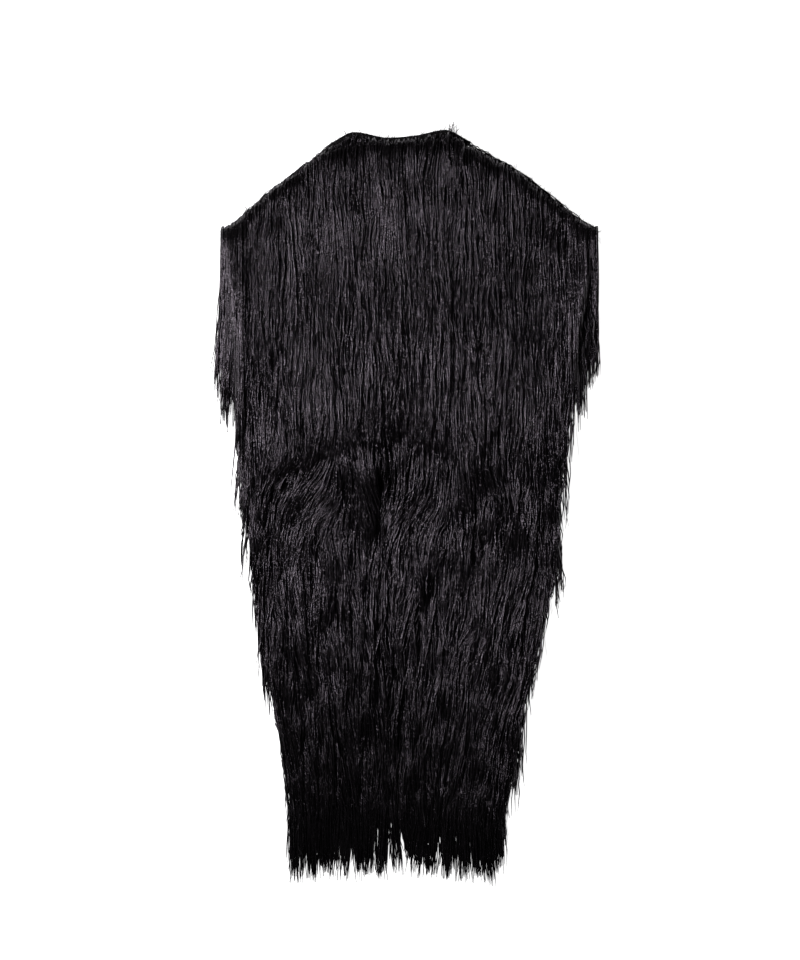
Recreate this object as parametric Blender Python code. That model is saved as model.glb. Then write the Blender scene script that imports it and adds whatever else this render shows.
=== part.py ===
"""A long sleeveless knit vest covered in rows of hanging fringe, laid out flat on its back.

Metres, +Z up. The vest lies on z = 0 with its neck towards +Y. Left and right are the wearer's,
so left is +X. The two fronts meet on x = 0, and the origin is on the underside of the back,
half way along the vest.
"""

import math
import random
from bisect import bisect_right
from collections import namedtuple

import bmesh
import bpy

# The cloth, and the gap between pieces that are sewn together
CLOTH = 0.0025
SEAM_GAP = 0.0003
FRONT_UNDER = CLOTH + SEAM_GAP
FRONT_TOP = FRONT_UNDER + CLOTH
FRONT_COLUMNS = 8
BACK_COLUMNS = 3
SIDE_INSET = 0.005
ARMHOLE_INSET = 0.012
EDGE_INSET = 0.002

# Half the gap between the two fronts, which part slightly towards the hem
OPENING_NECK = 0.0005
OPENING_HEM = 0.0040

SIDES = {"left": 1, "right": -1}

# Half widths of the cloth, from the centre line to each edge
Section = namedtuple("Section", "place height left right")
OUTLINE = (
    Section("neck point", 0.484, 0.098, 0.088),
    Section("shoulder, upper", 0.452, 0.160, 0.132),
    Section("shoulder, middle", 0.422, 0.200, 0.172),
    Section("shoulder, lower", 0.392, 0.238, 0.206),
    Section("shoulder end", 0.371, 0.266, 0.232),
    Section("armhole, upper", 0.318, 0.252, 0.222),
    Section("armhole, lower", 0.230, 0.240, 0.213),
    Section("underarm", 0.130, 0.232, 0.210),
    Section("waist", 0.040, 0.224, 0.206),
    Section("hip", -0.080, 0.214, 0.195),
    Section("thigh", -0.200, 0.190, 0.180),
    Section("knee", -0.320, 0.160, 0.157),
    Section("hem", -0.412, 0.141, 0.141),
)
SHOULDER_SECTIONS = 5
EDGE_SEARCH_STEPS = 40
NECK_HEIGHT = OUTLINE[0].height
HEM_HEIGHT = OUTLINE[-1].height

# Soft folds that lift the fronts along a line, fading out before the side edges
Fold = namedtuple("Fold", "place start_x start_y end_x end_y height width")
FOLDS = (
    Fold("right waist", -0.005, 0.078, -0.150, 0.024, 0.008, 0.026),
    Fold("left waist", 0.005, 0.076, 0.110, 0.056, 0.006, 0.030),
    Fold("left hip", 0.150, -0.015, 0.095, -0.075, 0.005, 0.026),
)
FOLD_FADE = 0.055

# The neck band: its top edge from the wearer's right to the left, above a straight seam
NeckPoint = namedtuple("NeckPoint", "place across top")
NECK_TOP = (
    NeckPoint("right end", -0.087, 0.4895),
    NeckPoint("right crest", -0.058, 0.5030),
    NeckPoint("dip", -0.012, 0.4955),
    NeckPoint("left slope", 0.025, 0.4985),
    NeckPoint("left crest", 0.065, 0.5060),
    NeckPoint("left end", 0.097, 0.4910),
)
NECK_SEAM = NECK_HEIGHT + SEAM_GAP
BAND_STEPS = 6
BAND_TURN_STEPS = 3

# The rows of fringe from the neck to the hem, each sewn on as one strip for each front.
# fall_share is how far a row follows the slope of the shoulder, and inset is the strip's
# distance from the side edge. Where the fronts are folded, a lock hangs at each of their
# columns, so that the strip follows the cloth.
Tier = namedtuple("Tier", "height fall_share length locks inset")
TIERS = (
    Tier(0.474, 1.00, 0.235, 10, EDGE_INSET),
    Tier(0.420, 0.78, 0.205, 9, ARMHOLE_INSET),
    Tier(0.362, 0.58, 0.185, 9, ARMHOLE_INSET),
    Tier(0.304, 0.40, 0.172, 9, ARMHOLE_INSET),
    Tier(0.246, 0.24, 0.162, 9, ARMHOLE_INSET),
    Tier(0.188, 0.10, 0.108, FRONT_COLUMNS, ARMHOLE_INSET),
    Tier(0.130, 0.00, 0.096, FRONT_COLUMNS, SIDE_INSET),
    Tier(0.074, 0.00, 0.100, FRONT_COLUMNS, SIDE_INSET),
    Tier(0.018, 0.00, 0.104, FRONT_COLUMNS, SIDE_INSET),
    Tier(-0.038, 0.00, 0.104, FRONT_COLUMNS, SIDE_INSET),
    Tier(-0.094, 0.00, 0.106, FRONT_COLUMNS, SIDE_INSET),
    Tier(-0.152, 0.00, 0.106, 6, SIDE_INSET),
    Tier(-0.210, 0.00, 0.108, 6, SIDE_INSET),
    Tier(-0.268, 0.00, 0.108, 6, SIDE_INSET),
    Tier(-0.326, 0.00, 0.110, 6, SIDE_INSET),
    Tier(-0.384, 0.00, 0.114, 6, SIDE_INSET),
)
LAST_TIER = len(TIERS) - 1
STRIP_WIDTH = 0.005
STRIP_THICK = 0.0022
STRIP_LIFT = 0.0005

# Each row hangs over the rows below it, and rises by this much for each row that it covers
LAYER = 0.0036
HANG_FROM_TIER = 6
FINE_FROM_LEVEL = 6
COARSE_STEP = 1.0
FINE_STEP = 0.5

# One lock of fringe
LOCK_FILL = 0.86
LOCK_TAPER = 0.50
LOCK_OVER = 0.55
LOCK_THICK = 0.0027
LOCK_TIP = 0.0008
LEAST_TIP_RUN = 0.012
LENGTH_SPREAD = 0.10
SIDE_SHORTEN = 0.6
SWAY = 0.002
SWAY_WAVE = 0.060
SIDE_FLARE = 0.010
FLARE_POWER = 6
SEED = 7

# The last lock of the first row hangs outside the armhole, and the hem's locks lie on the floor
SLEEVE_LENGTH = 0.215
SLEEVE_LEAN = {"left": 0.013, "right": 0.020}
SLEEVE_LEAN_RUN = 0.35
FLOOR_CLEARANCE = 0.0006
SIDE_CLEAR = 0.010
SIDE_FALL = 0.010
HEM_FALL = 0.030
NOTCH_WIDTH = 0.035
NOTCH_SHORTEN = 0.36

KNIT_COLOUR = (0.010, 0.009, 0.010)
RIB_COLOUR = (0.012, 0.011, 0.012)
FRINGE_COLOUR = (0.014, 0.012, 0.014)
KNIT_ROUGHNESS = 0.75
RIB_ROUGHNESS = 0.70
FRINGE_ROUGHNESS = 0.45

Row = namedtuple("Row", "height fall_share")


def smooth_curve(places, values):
    """A smooth function through the values at rising places, which never overshoots them."""
    slopes = []
    for k in range(len(places) - 1):
        slopes.append((values[k + 1] - values[k]) / (places[k + 1] - places[k]))
    tangents = [slopes[0]]
    for before, after in zip(slopes, slopes[1:]):
        turning = before * after <= 0.0
        tangents.append(0.0 if turning else 2.0 * before * after / (before + after))
    tangents.append(slopes[-1])

    def value_at(place):
        k = min(max(bisect_right(places, place) - 1, 0), len(slopes) - 1)
        run = places[k + 1] - places[k]
        t = min(max((place - places[k]) / run, 0.0), 1.0)
        back = 1.0 - t
        ends = values[k] * back * back * (1.0 + 2.0 * t) + values[k + 1] * t * t * (3.0 - 2.0 * t)
        bends = tangents[k] * t * back * back - tangents[k + 1] * t * t * back
        return ends + bends * run

    return value_at


def smooth_step(t):
    t = min(max(t, 0.0), 1.0)
    return t * t * (3.0 - 2.0 * t)


def half_width_curve(side):
    rising = OUTLINE[::-1]
    return smooth_curve([s.height for s in rising], [getattr(s, side) for s in rising])


def shoulder_fall_curve(side):
    """How far the shoulder line drops below the neck point, by the distance from the centre."""
    shoulder = OUTLINE[:SHOULDER_SECTIONS]
    drops = [NECK_HEIGHT - s.height for s in shoulder]
    return smooth_curve([getattr(s, side) for s in shoulder], drops)


HALF_WIDTH = {side: half_width_curve(side) for side in SIDES}
SHOULDER_FALL = {side: shoulder_fall_curve(side) for side in SIDES}
NECK_TOP_AT = smooth_curve([p.across for p in NECK_TOP], [p.top for p in NECK_TOP])


def row_y(row, side, x):
    return row.height - row.fall_share * SHOULDER_FALL[side](x)


def row_edge(row, side):
    """The distance from the centre at which a row meets the edge of the cloth."""
    x = max(getattr(section, side) for section in OUTLINE)
    for _ in range(EDGE_SEARCH_STEPS):
        x = HALF_WIDTH[side](row_y(row, side, x))
    return x


def opening(y):
    """Half the gap between the fronts at a height."""
    t = (NECK_HEIGHT - y) / (NECK_HEIGHT - HEM_HEIGHT)
    return OPENING_NECK + t * (OPENING_HEM - OPENING_NECK)


def fold_lift(side, x, y):
    """How far the folds raise a front, where x is the distance from the centre."""
    across = SIDES[side] * x
    lift = 0.0
    for fold in FOLDS:
        run_x = fold.end_x - fold.start_x
        run_y = fold.end_y - fold.start_y
        t = ((across - fold.start_x) * run_x + (y - fold.start_y) * run_y) / (run_x**2 + run_y**2)
        t = min(max(t, 0.0), 1.0)
        away = math.hypot(across - fold.start_x - t * run_x, y - fold.start_y - t * run_y)
        lift = math.hypot(lift, fold.height * math.exp(-0.5 * (away / fold.width) ** 2))
    return lift * smooth_step((HALF_WIDTH[side](y) - x) / FOLD_FADE)


def tier_row(level):
    """The row at a level: 2.5 is half way from the third tier to the fourth."""
    k = min(int(level), LAST_TIER - 1)
    t = level - k
    upper, lower = TIERS[k], TIERS[k + 1]
    height = upper.height + t * (lower.height - upper.height)
    return Row(height, upper.fall_share + t * (lower.fall_share - upper.fall_share))


def strip_rows(tier):
    """The upper and lower edge of a fringe's strip."""
    upper = Row(tier.height + STRIP_WIDTH / 2, tier.fall_share)
    lower = Row(tier.height - STRIP_WIDTH / 2, tier.fall_share)
    return upper, lower


def front_rows():
    """The rows of a front: both edges of every strip, and one between each two strips."""
    rows = [Row(NECK_HEIGHT, 1.0)]
    for k, tier in enumerate(TIERS):
        rows.extend(strip_rows(tier))
        if k < LAST_TIER:
            rows.append(tier_row(k + 0.5))
    rows.append(Row(HEM_HEIGHT, 0.0))
    return rows


def front_row_points(row, side):
    """The underside of a front along one row, as distance from the centre, y and z."""
    inner = opening(row.height)
    outer = row_edge(row, side)
    spacing = (outer - SIDE_INSET - inner) / FRONT_COLUMNS
    columns = [inner + spacing * k for k in range(FRONT_COLUMNS)]
    points = []
    for x in (*columns, outer):
        y = row_y(row, side, x)
        points.append((x, y, FRONT_UNDER + fold_lift(side, x, y)))
    return points


def front_top_at(points, x):
    """The height of the front's top along a row of its points."""
    k = min(max(bisect_right([p[0] for p in points], x) - 1, 0), len(points) - 2)
    (x0, _, z0), (x1, _, z1) = points[k], points[k + 1]
    return z0 + (z1 - z0) * (x - x0) / (x1 - x0) + CLOTH


def yarn(name, colour, roughness):
    material = bpy.data.materials.new(name)
    material.use_nodes = True
    shader = material.node_tree.nodes["Principled BSDF"]
    shader.inputs["Base Color"].default_value = (*colour, 1.0)
    shader.inputs["Roughness"].default_value = roughness
    shader.inputs["Metallic"].default_value = 0.0
    return material


def add_piece(name, mesh, material, parent):
    """Makes a named object of a finished bmesh, with its faces turned outwards."""
    bmesh.ops.recalc_face_normals(mesh, faces=mesh.faces[:])
    data = bpy.data.meshes.new(name)
    mesh.to_mesh(data)
    mesh.free()
    data.materials.append(material)
    piece = bpy.data.objects.new(name, data)
    piece.parent = parent
    bpy.context.scene.collection.objects.link(piece)


def cloth_panel(grid):
    """A wall of cloth above a grid of points, given row by row."""
    mesh = bmesh.new()
    rows = [[mesh.verts.new(point) for point in points] for points in grid]
    for upper, lower in zip(rows, rows[1:]):
        for k in range(len(upper) - 1):
            mesh.faces.new((upper[k], upper[k + 1], lower[k + 1], lower[k]))
    raised = bmesh.ops.extrude_face_region(mesh, geom=mesh.faces[:])
    top = [part for part in raised["geom"] if isinstance(part, bmesh.types.BMVert)]
    bmesh.ops.translate(mesh, verts=top, vec=(0.0, 0.0, CLOTH))
    return mesh


def front_panel(side):
    sign = SIDES[side]
    grid = []
    for row in front_rows():
        grid.append([(sign * x, y, z) for x, y, z in front_row_points(row, side)])
    return cloth_panel(grid)


def back_panel():
    """The back, flat on the floor, with one row of points at each tier."""
    rows = [Row(NECK_HEIGHT, 1.0)]
    rows.extend(tier_row(k) for k in range(len(TIERS)))
    rows.append(Row(HEM_HEIGHT, 0.0))
    grid = []
    for row in rows:
        points = []
        for column in range(-BACK_COLUMNS, BACK_COLUMNS + 1):
            side = "left" if column > 0 else "right"
            x = row_edge(row, side) * abs(column) / BACK_COLUMNS
            points.append((SIDES[side] * x, row_y(row, side, x), 0.0))
        grid.append(points)
    return cloth_panel(grid)


def skin(mesh, first, second, skipped=None):
    """Quads between two rings of four points."""
    for k in range(4):
        if k != skipped:
            after = (k + 1) % 4
            mesh.faces.new((first[k], first[after], second[after], second[k]))


def band_path():
    """The middle of the neck band's wall, from the left front round the back to the right front.

    Each place is x, z and the direction in which the wall faces out.
    """
    right_end, left_end = NECK_TOP[0].across, NECK_TOP[-1].across
    front_z = (FRONT_UNDER + FRONT_TOP) / 2
    back_z = CLOTH / 2
    turn_z = (front_z + back_z) / 2
    turn_radius = (front_z - back_z) / 2

    def run(start, end, z, facing, steps):
        return [(start + (end - start) * k / steps, z, 0.0, facing) for k in range(steps + 1)]

    def turn(x, start):
        places = []
        for k in range(1, BAND_TURN_STEPS):
            angle = start - math.pi * k / BAND_TURN_STEPS
            across, up = math.cos(angle), math.sin(angle)
            places.append((x + turn_radius * across, turn_z + turn_radius * up, across, up))
        return places

    path = run(OPENING_NECK, left_end, front_z, 1.0, BAND_STEPS)
    path += turn(left_end, math.pi / 2)
    path += run(left_end, right_end, back_z, -1.0, 2 * BAND_STEPS)
    path += turn(right_end, -math.pi / 2)
    path += run(right_end, -OPENING_NECK, front_z, 1.0, BAND_STEPS)
    return path


def neck_band():
    mesh = bmesh.new()
    rings = []
    for x, z, facing_x, facing_z in band_path():
        half_x, half_z = facing_x * CLOTH / 2, facing_z * CLOTH / 2
        top = NECK_TOP_AT(x)
        corners = (
            (x - half_x, NECK_SEAM, z - half_z),
            (x + half_x, NECK_SEAM, z + half_z),
            (x + half_x, top, z + half_z),
            (x - half_x, top, z - half_z),
        )
        rings.append([mesh.verts.new(corner) for corner in corners])
    for first, second in zip(rings, rings[1:]):
        skin(mesh, first, second)
    mesh.faces.new(rings[0])
    mesh.faces.new(rings[-1])
    return mesh


def lock_length(tier, side, x, is_sleeve, spread):
    if is_sleeve:
        return SLEEVE_LENGTH
    length = tier.length * (1.0 + spread)
    length -= SIDE_SHORTEN * tier.fall_share * SHOULDER_FALL[side](x)
    if tier is TIERS[LAST_TIER]:
        length *= 1.0 - NOTCH_SHORTEN * math.exp(-((x / NOTCH_WIDTH) ** 2))
    return length


def lock_levels(level, end_y, side, x):
    """The levels of a lock's rings, which all rows share so that they lie on each other evenly."""
    levels = []
    while True:
        step = COARSE_STEP if level < FINE_FROM_LEVEL else FINE_STEP
        level += step
        if row_y(tier_row(level), side, x) < end_y + LEAST_TIP_RUN:
            return levels
        levels.append(level)


class Lock:
    """One tapering lock of fringe, hanging from a stretch of its strip."""

    def __init__(self, index, side, start, end, number, spread):
        self.index = index
        self.tier = TIERS[index]
        self.side = side
        self.x = (start + end) / 2
        self.half = (end - start) / 2
        self.place = (number + 1) / self.tier.locks
        self.is_sleeve = index == 0 and number == self.tier.locks - 1
        self.root_y = row_y(strip_rows(self.tier)[1], side, self.x)
        self.length = lock_length(self.tier, side, self.x, self.is_sleeve, spread)
        self.end_y = self.root_y - self.length

    def narrowing(self, y):
        """How much narrower the vest is at a height than at this lock's root."""
        if self.index < HANG_FROM_TIER:
            return 1.0
        return HALF_WIDTH[self.side](y) / HALF_WIDTH[self.side](self.root_y)

    def centre(self, y, t):
        x = self.x * self.narrowing(y)
        if self.is_sleeve:
            return x + SLEEVE_LEAN[self.side] * smooth_step(t / SLEEVE_LEAN_RUN)
        x += SWAY * t * math.sin(self.x / SWAY_WAVE * math.tau + self.index)
        if self.index >= HANG_FROM_TIER:
            x += SIDE_FLARE * t * self.place**FLARE_POWER
        return x

    def under(self, x, y, inner, level):
        """The height of the lock's underside at a point of a ring whose inner edge is given."""
        outside = smooth_step((inner - HALF_WIDTH[self.side](y) - SIDE_CLEAR) / SIDE_FALL)
        past_hem = smooth_step((HEM_HEIGHT - y) / HEM_FALL)
        resting = (1.0 - outside) * (1.0 - past_hem)
        on_cloth = FRONT_TOP + STRIP_LIFT + fold_lift(self.side, x, y)
        on_rows = LAYER * (min(level, LAST_TIER) - self.index)
        if self.is_sleeve:
            on_rows *= resting
        return resting * on_cloth + (1.0 - resting) * FLOOR_CLEARANCE + on_rows

    def ring(self, level):
        row = tier_row(level)
        y = row_y(row, self.side, self.x)
        t = (self.root_y - y) / self.length
        centre = self.centre(y, t)
        half = self.half * LOCK_FILL * (1.0 - LOCK_TAPER * t) * self.narrowing(y)
        thick = LOCK_THICK * (1.0 - t**3)
        points = []
        for reach, rise in ((-1.0, 0.0), (1.0, 0.0), (LOCK_OVER, thick), (-LOCK_OVER, thick)):
            x = centre + reach * half
            point_y = row_y(row, self.side, x)
            z = self.under(x, point_y, centre - half, level) + rise
            points.append((SIDES[self.side] * x, point_y, z))
        return points

    def tip(self, level):
        x = self.centre(self.end_y, 1.0)
        step = COARSE_STEP if level < FINE_FROM_LEVEL else FINE_STEP
        above = row_y(tier_row(level), self.side, self.x)
        below = row_y(tier_row(level + step), self.side, self.x)
        end_level = level + step * (above - self.end_y) / (above - below)
        z = self.under(x, self.end_y, x, end_level) + LOCK_TIP
        return SIDES[self.side] * x, self.end_y, z

    def grow(self, mesh, root):
        """Skins the lock from the four points of its root to its tip."""
        levels = lock_levels(self.index, self.end_y, self.side, self.x)
        ring = root
        for level in levels:
            following = [mesh.verts.new(point) for point in self.ring(level)]
            skin(mesh, ring, following)
            ring = following
        tip = mesh.verts.new(self.tip(levels[-1] if levels else self.index))
        for k in range(4):
            mesh.faces.new((ring[k], ring[(k + 1) % 4], tip))


def fringe_row(index, side):
    """A narrow strip laid along a front, with its row of locks."""
    tier = TIERS[index]
    upper, lower = strip_rows(tier)
    upper_points = front_row_points(upper, side)
    lower_points = front_row_points(lower, side)
    start = opening(lower.height)
    end = row_edge(lower, side) - tier.inset
    places = [start + (end - start) * k / tier.locks for k in range(tier.locks + 1)]
    chance = random.Random(SEED + 2 * index + (side == "left"))

    mesh = bmesh.new()
    sections = []
    for x in places:
        upper_z = front_top_at(upper_points, x) + STRIP_LIFT
        lower_z = front_top_at(lower_points, x) + STRIP_LIFT
        across = SIDES[side] * x
        corners = (
            (across, row_y(upper, side, x), upper_z),
            (across, row_y(upper, side, x), upper_z + STRIP_THICK),
            (across, row_y(lower, side, x), lower_z + STRIP_THICK),
            (across, row_y(lower, side, x), lower_z),
        )
        sections.append([mesh.verts.new(corner) for corner in corners])
    mesh.faces.new(sections[0])
    mesh.faces.new(sections[-1])
    for k in range(tier.locks):
        near, far = sections[k], sections[k + 1]
        skin(mesh, near, far, skipped=2)
        spread = chance.uniform(-LENGTH_SPREAD, LENGTH_SPREAD)
        lock = Lock(index, side, places[k], places[k + 1], k, spread)
        lock.grow(mesh, (near[3], far[3], far[2], near[2]))
    return mesh


def build_vest():
    for old in list(bpy.data.objects):
        bpy.data.objects.remove(old, do_unlink=True)
    vest = bpy.data.objects.new("knit_vest", None)
    bpy.context.scene.collection.objects.link(vest)
    knit = yarn("black knit", KNIT_COLOUR, KNIT_ROUGHNESS)
    rib = yarn("black rib", RIB_COLOUR, RIB_ROUGHNESS)
    fringe = yarn("black fringe yarn", FRINGE_COLOUR, FRINGE_ROUGHNESS)

    add_piece("back", back_panel(), knit, vest)
    add_piece("neck_band", neck_band(), rib, vest)
    for side in SIDES:
        add_piece(f"front_{side}", front_panel(side), knit, vest)
        for index in range(len(TIERS)):
            add_piece(f"fringe_{index + 1:02d}_{side}", fringe_row(index, side), fringe, vest)


build_vest()
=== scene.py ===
"""The finish of a long black knit vest whose front is covered in rows of hanging yarn.

Metres, +Z up. The vest lies on its back on the floor at z = 0 with its neck towards +Y. Left and
right are the wearer's, so left is +X. In most functions x is the distance from the centre line,
and across is the signed place.
"""

import math
from collections import namedtuple

import bpy
import numpy as np
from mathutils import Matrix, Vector


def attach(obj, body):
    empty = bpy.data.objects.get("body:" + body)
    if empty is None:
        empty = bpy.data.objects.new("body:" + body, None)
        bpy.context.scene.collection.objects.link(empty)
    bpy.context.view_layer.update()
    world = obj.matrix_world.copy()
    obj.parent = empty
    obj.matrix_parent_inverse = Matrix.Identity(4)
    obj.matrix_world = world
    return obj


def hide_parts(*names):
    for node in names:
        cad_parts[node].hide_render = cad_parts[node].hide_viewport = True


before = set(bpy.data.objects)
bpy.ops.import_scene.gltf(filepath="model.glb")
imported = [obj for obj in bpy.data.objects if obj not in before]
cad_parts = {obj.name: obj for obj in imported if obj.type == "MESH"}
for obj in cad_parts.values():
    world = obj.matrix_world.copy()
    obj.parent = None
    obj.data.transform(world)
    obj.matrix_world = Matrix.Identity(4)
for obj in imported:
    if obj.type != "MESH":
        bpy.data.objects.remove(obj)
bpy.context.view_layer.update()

BODY = "root"


def table(columns, *rows):
    """Rows of values with named columns."""
    row_type = namedtuple("Row", columns)
    return tuple(row_type(*row) for row in rows)


# The view: straight down, with the photograph's frame laid over the floor
IMAGE_HEIGHT = 960
METRES_PER_PIXEL = 0.00135
VIEW_CENTRE = Vector((0.00405, 0.03375, 0.0))
CAMERA_HEIGHT = 3.2
SENSOR_HEIGHT = 36.0

# The cloth, and the gap between pieces that are sewn together
CLOTH = 0.0025
SEAM_GAP = 0.0003
FRONT_UNDER = CLOTH + SEAM_GAP
FRONT_TOP = FRONT_UNDER + CLOTH
OPENING_NECK = 0.0005
OPENING_HEM = 0.0040
SIDE_INSET = 0.003
FLUSH_INSET = 0.0
EDGE_INSET = -0.006
PANEL_STEP = 0.010

# The distance from a cloth's edge, and the share of its full thickness there
EDGE_ROUNDING = ((0.0, 0.35), (0.0008, 0.75), (0.0024, 1.0))

SIDES = {"left": 1, "right": -1}

# Half widths of the cloth, from the centre line to each edge
OUTLINE = table(
    "place height left right",
    ("neck point", 0.484, 0.098, 0.088),
    ("shoulder, upper", 0.452, 0.160, 0.132),
    ("shoulder, middle", 0.422, 0.200, 0.172),
    ("shoulder, lower", 0.392, 0.238, 0.206),
    ("shoulder end", 0.371, 0.266, 0.232),
    ("armhole, upper", 0.318, 0.252, 0.222),
    ("armhole, lower", 0.230, 0.240, 0.213),
    ("underarm", 0.130, 0.232, 0.210),
    ("waist", 0.040, 0.224, 0.206),
    ("hip", -0.080, 0.214, 0.195),
    ("thigh", -0.200, 0.190, 0.180),
    ("knee", -0.320, 0.160, 0.157),
    ("hem", -0.412, 0.141, 0.141),
)
SHOULDER_SECTIONS = 5
EDGE_SEARCH_STEPS = 40
NECK_HEIGHT = OUTLINE[0].height
HEM_HEIGHT = OUTLINE[-1].height

# Soft folds that lift the fronts along a line, fading out before the side edges
FOLDS = table(
    "place start_x start_y end_x end_y height width",
    ("right waist", -0.005, 0.078, -0.150, 0.024, 0.008, 0.026),
    ("left waist", 0.005, 0.076, 0.110, 0.056, 0.006, 0.030),
    ("left hip", 0.150, -0.015, 0.095, -0.075, 0.005, 0.026),
)
FOLD_FADE = 0.055

# The neck band: its top edge from the wearer's right to the left, above a straight seam
NECK_TOP = table(
    "place across top",
    ("right end", -0.087, 0.4895),
    ("right crest", -0.058, 0.5030),
    ("dip", -0.012, 0.4955),
    ("left slope", 0.025, 0.4985),
    ("left crest", 0.065, 0.5060),
    ("left end", 0.097, 0.4910),
)
NECK_SEAM = NECK_HEIGHT + SEAM_GAP
RIB_PITCH = 0.0042
RIB_RELIEF = 0.0004
BAND_STEP = 0.0011
BAND_TURN_STEPS = 8
BAND_HEIGHTS = (0.0, 0.05, 0.16, 0.40, 0.64, 0.84, 0.95, 1.0)
BAND_FULLNESS = (0.35, 0.80, 1.0, 1.0, 1.0, 0.95, 0.70, 0.30)
NECK_SPAN = {"left": NECK_TOP[-1].across, "right": -NECK_TOP[0].across}

# The rows of fringe from the neck to the hem. fall_share is how far a row follows the slope of
# the shoulder, clump is the width of the tufts that its strands gather into, pull is how far
# they gather at the tip, ragged is the largest share by which a strand is cut short, and flare
# is the share of the sides' flare that a row takes.
TIERS = table(
    "height fall_share length inset strands steps clump pull ragged flare",
    (0.474, 1.00, 0.235, EDGE_INSET, 760, 8, 0.007, 0.30, 0.45, 0.0),
    (0.420, 0.78, 0.205, FLUSH_INSET, 600, 7, 0.008, 0.35, 0.50, 0.2),
    (0.362, 0.58, 0.185, FLUSH_INSET, 600, 7, 0.008, 0.35, 0.50, 0.2),
    (0.304, 0.40, 0.172, FLUSH_INSET, 600, 7, 0.009, 0.40, 0.45, 0.2),
    (0.246, 0.24, 0.176, FLUSH_INSET, 640, 7, 0.010, 0.50, 0.35, 0.2),
    (0.188, 0.10, 0.185, FLUSH_INSET, 640, 7, 0.010, 0.55, 0.30, 0.2),
    (0.130, 0.00, 0.106, SIDE_INSET, 760, 7, 0.011, 0.60, 0.40, 0.6),
    (0.074, 0.00, 0.110, SIDE_INSET, 760, 7, 0.011, 0.65, 0.40, 0.6),
    (0.018, 0.00, 0.112, SIDE_INSET, 760, 7, 0.012, 0.65, 0.40, 0.6),
    (-0.038, 0.00, 0.112, SIDE_INSET, 740, 5, 0.012, 0.65, 0.40, 0.6),
    (-0.094, 0.00, 0.114, SIDE_INSET, 740, 5, 0.012, 0.70, 0.40, 0.6),
    (-0.152, 0.00, 0.114, SIDE_INSET, 720, 5, 0.012, 0.70, 0.40, 0.5),
    (-0.210, 0.00, 0.116, SIDE_INSET, 700, 5, 0.012, 0.70, 0.40, 0.4),
    (-0.268, 0.00, 0.116, FLUSH_INSET, 680, 5, 0.012, 0.70, 0.40, 0.5),
    (-0.326, 0.00, 0.116, FLUSH_INSET, 660, 5, 0.010, 0.50, 0.40, 0.5),
    (-0.384, 0.00, 0.120, FLUSH_INSET, 860, 5, 0.006, 0.45, 0.36, 0.2),
)
LAST_TIER = len(TIERS) - 1
ROW_SPREAD = 0.026
RAISED_ROWS = {7: 2.0, LAST_TIER: 1.0}
STRIP_WIDTH = 0.005
STRIP_LIFT = 0.0005
LAYER = 0.0036
HANG_FROM_TIER = 4
SIDE_SHORTEN = 0.6
SIDE_FLARE = {"left": 0.018, "right": 0.006}
FLARE_POWER = 6

# Where the fringe hangs outside the armholes and past the hem, it lies on the floor
SLEEVE_SHARE = 0.86
SLEEVE_ROOTS = 0.32
SLEEVE_INNER_LENGTH = {"left": 0.265, "right": 0.340}
SLEEVE_OUTER_LENGTH = {"left": 0.210, "right": 0.208}
SLEEVE_RAGGED = 0.15
SLEEVE_RUFFLE = 0.0024
SLEEVE_STRAIGHT = 0.3
SLEEVE_LAYERS = 3.0
SLEEVE_LEAN = {"left": 0.003, "right": 0.011}
SLEEVE_LEAN_FROM = 0.5
SLEEVE_SWING = (-0.2, 1.0)
SIDE_CLEAR = 0.002
SIDE_FALL = 0.010
HEM_FALL = 0.060

# The share of its length that the last row keeps, from the wearer's right to the left
HEM_SHARES = table(
    "across share",
    (-0.150, 1.05), (-0.120, 1.02), (-0.100, 0.98), (-0.070, 1.04), (-0.040, 0.95),
    (-0.020, 1.02), (-0.010, 0.98), (0.000, 0.74), (0.008, 0.80), (0.026, 0.84),
    (0.042, 1.00), (0.075, 1.02), (0.110, 1.05), (0.125, 1.08), (0.140, 0.92),
)
CENTRE_OVERLAP = 0.006

# The parting between the two fronts' fringe below the waist, from the hem up
PARTING = table(
    "y across",
    (-0.445, 0.000), (-0.344, -0.012), (-0.250, -0.019), (-0.182, -0.023), (-0.074, -0.026),
    (-0.020, -0.022), (0.034, -0.016), (0.090, -0.007),
)
PARTED_ROWS = range(6, 15)
PARTING_THINNING = ((0.0, 0.05, 1.0), (0.0, 0.11, 1.0))

# How far the whole pile swells, from the hem up
SWELL = table(
    "y lift",
    (-0.420, 0.0000), (-0.340, 0.0002), (-0.260, 0.0012), (-0.200, 0.0016), (-0.160, 0.0010),
    (-0.120, 0.0000), (-0.080, 0.0000), (-0.040, 0.0018), (0.000, 0.0046), (0.040, 0.0051),
    (0.080, 0.0052), (0.160, 0.0052), (0.200, 0.0050), (0.240, 0.0044), (0.270, 0.0031),
    (0.300, 0.0014), (0.330, 0.0000), (0.360, 0.0004), (0.400, 0.0020), (0.440, 0.0038),
    (0.480, 0.0056),
)

# The line at the waist where the long upper rows end, from the wearer's right to the left
WAIST_LINE = table(
    "across y spread",
    (-0.212, 0.000, 0.012), (-0.184, 0.018, 0.008), (-0.144, 0.042, 0.006), (-0.115, 0.054, 0.005),
    (-0.097, 0.065, 0.006), (-0.063, 0.075, 0.010), (-0.025, 0.089, 0.010), (0.003, 0.094, 0.008),
    (0.027, 0.082, 0.007), (0.065, 0.066, 0.010), (0.100, 0.060, 0.018), (0.147, 0.034, 0.024),
    (0.200, 0.016, 0.026), (0.236, 0.004, 0.020),
)
WAIST_ROWS = range(3, 7)
WAIST_SHORTEST = 0.020

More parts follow.
